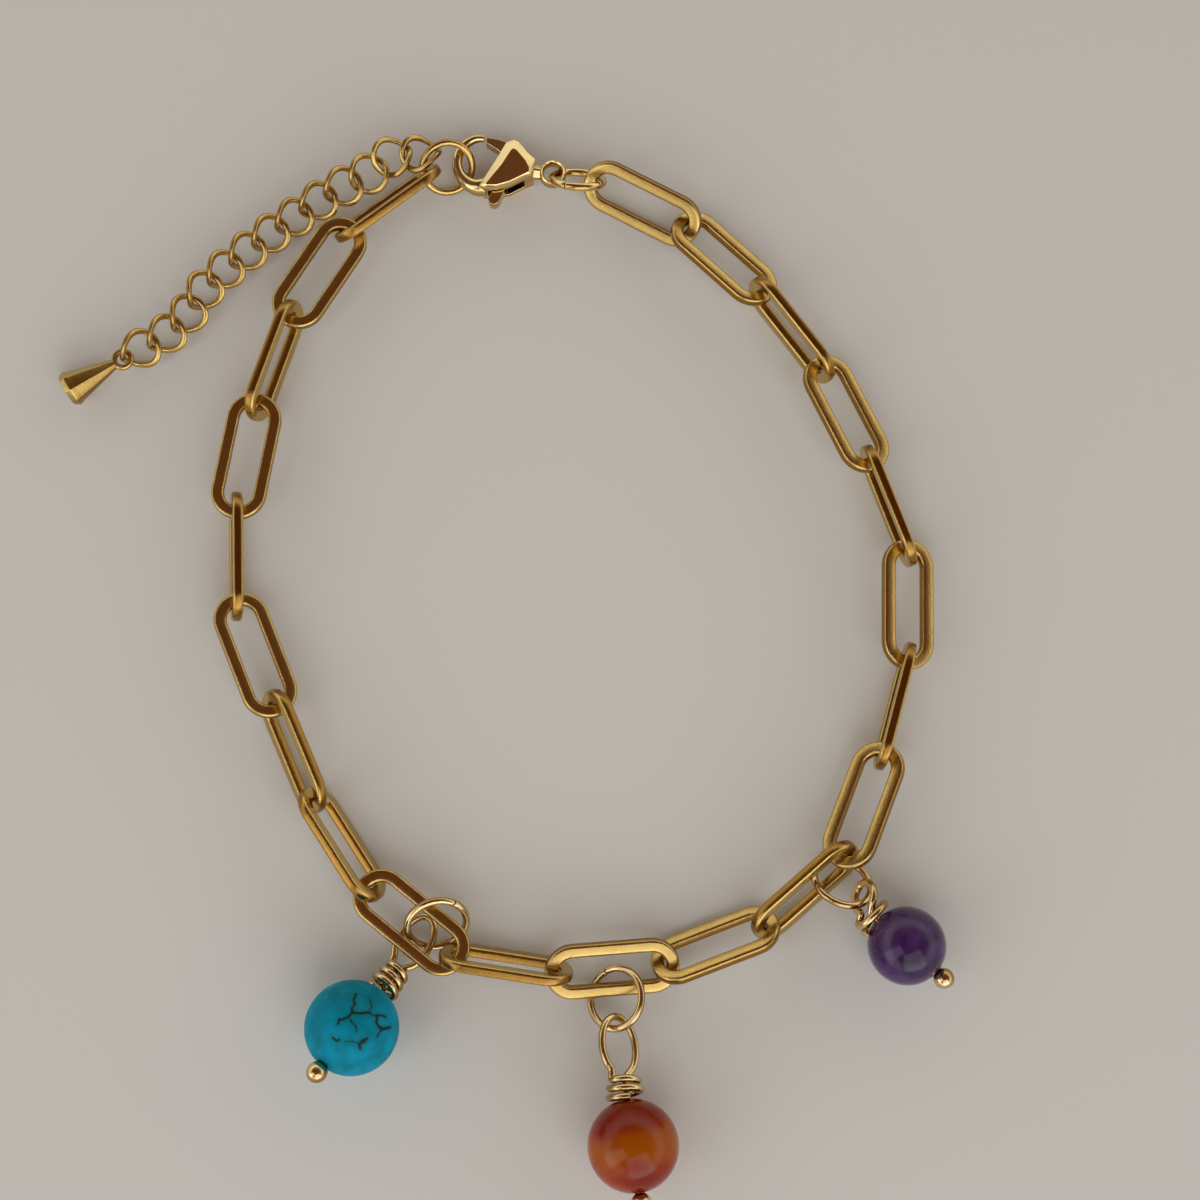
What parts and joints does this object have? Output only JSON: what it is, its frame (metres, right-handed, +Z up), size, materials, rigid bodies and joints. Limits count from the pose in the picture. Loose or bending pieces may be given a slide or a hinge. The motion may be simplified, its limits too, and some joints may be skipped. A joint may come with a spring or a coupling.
{
  "type": "birthstone bracelet",
  "caption": "Gold paperclip-link bracelet with a lobster clasp, a short curb extender and round birthstone bead charms on wire loops, lying fastened on a surface.",
  "frame": {"origin": "middle of the bracelet's box as it lies, on the surface under it", "axes": "+Z up from the surface, +Y towards the clasp, +X towards the side that the clasp's eye is on"},
  "size_m": [0.0614, 0.0744, 0.0062],
  "materials": {
    "chain_gold": "satin gold plate",
    "polished_gold": "polished gold plate",
    "wire_gold": "bright drawn gold-filled wire",
    "turquoise": "satin polished stone with dark veins",
    "carnelian": "polished translucent stone",
    "amethyst": "polished translucent stone"
  },
  "bodies": {
    "bracelet": {"link_01": "chain_gold", "link_02": "chain_gold", "link_03": "chain_gold", "link_04": "chain_gold", "link_05": "chain_gold", "link_06": "chain_gold", "link_07": "chain_gold", "link_08": "chain_gold", "link_09": "chain_gold", "link_10": "chain_gold", "link_11": "chain_gold", "link_12": "chain_gold", "link_13": "chain_gold", "link_14": "chain_gold", "link_15": "chain_gold", "link_16": "chain_gold", "link_17": "chain_gold", "link_18": "chain_gold", "link_19": "chain_gold", "link_20": "chain_gold", "link_21": "chain_gold", "clasp_ring": "polished_gold", "clasp_body": "polished_gold", "end_ring": "chain_gold", "extender_link_01": "chain_gold", "extender_link_02": "chain_gold", "extender_link_03": "chain_gold", "extender_link_04": "chain_gold", "extender_link_05": "chain_gold", "extender_link_06": "chain_gold", "extender_link_07": "chain_gold", "extender_link_08": "chain_gold", "extender_link_09": "chain_gold", "extender_link_10": "chain_gold", "extender_link_11": "chain_gold", "extender_link_12": "chain_gold", "extender_link_13": "chain_gold", "extender_drop": "chain_gold", "turquoise_ring": "wire_gold", "turquoise_pin": "wire_gold", "turquoise_bead": "turquoise", "carnelian_ring": "wire_gold", "carnelian_pin": "wire_gold", "carnelian_bead": "carnelian", "amethyst_ring": "wire_gold", "amethyst_pin": "wire_gold", "amethyst_bead": "amethyst"},
    "lever": {"clasp_lever": "polished_gold"}
  },
  "joints": [
    {"name": "lever_hinge", "type": "hinge", "parent": "bracelet", "child": "lever", "pos_m": [0.00111, 0.03576, 0.0013], "axis": [0, 0, 1], "range_deg": [0, 20], "stiffness_Nm_per_rad": 0.002}
  ]
}
